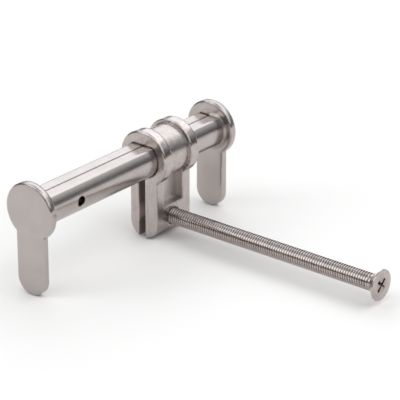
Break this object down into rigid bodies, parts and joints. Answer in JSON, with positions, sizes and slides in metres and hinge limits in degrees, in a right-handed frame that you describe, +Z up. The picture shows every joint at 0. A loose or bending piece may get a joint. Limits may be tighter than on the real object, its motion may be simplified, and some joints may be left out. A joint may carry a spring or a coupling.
{
  "type": "dummy lock cylinder",
  "caption": "Adjustable blank euro-profile cylinder: two shaped end plates on half-round rods that slide through a split clamp, closed by a long countersunk fixing screw.",
  "frame": {"origin": "on the rods' common axis, in the middle of the clamp, above the fixing screw", "axes": "X along the rods from the near end plate to the far one, -Y along the fixing screw to its head, +Z up from the legs to the round part of the profile"},
  "size_m": [0.0799, 0.0857, 0.033],
  "materials": {
    "plate_nickel": "satin nickel plate",
    "rod_nickel": "satin nickel plate, drawn lengthwise",
    "clamp_nickel": "satin nickel plate",
    "screw_steel": "nickel-plated steel"
  },
  "bodies": {
    "clamp": {"clamp_body": "clamp_nickel"},
    "near_end": {"near_end_plate": "plate_nickel", "near_half_rod": "rod_nickel"},
    "far_end": {"far_end_plate": "plate_nickel", "far_half_rod": "rod_nickel"},
    "screw": {"fixing_screw": "screw_steel"}
  },
  "joints": [
    {"name": "near_end_slide", "type": "slide", "parent": "clamp", "child": "near_end", "axis": [-1, 0, 0], "range_m": [0, 0.0144]},
    {"name": "far_end_slide", "type": "slide", "parent": "clamp", "child": "far_end", "axis": [1, 0, 0], "range_m": [0, 0.0447]},
    {"name": "screw_turn", "type": "hinge", "parent": "clamp", "child": "screw", "pos_m": [0, 0, -0.0189], "axis": [0, 1, 0], "continuous": true}
  ]
}
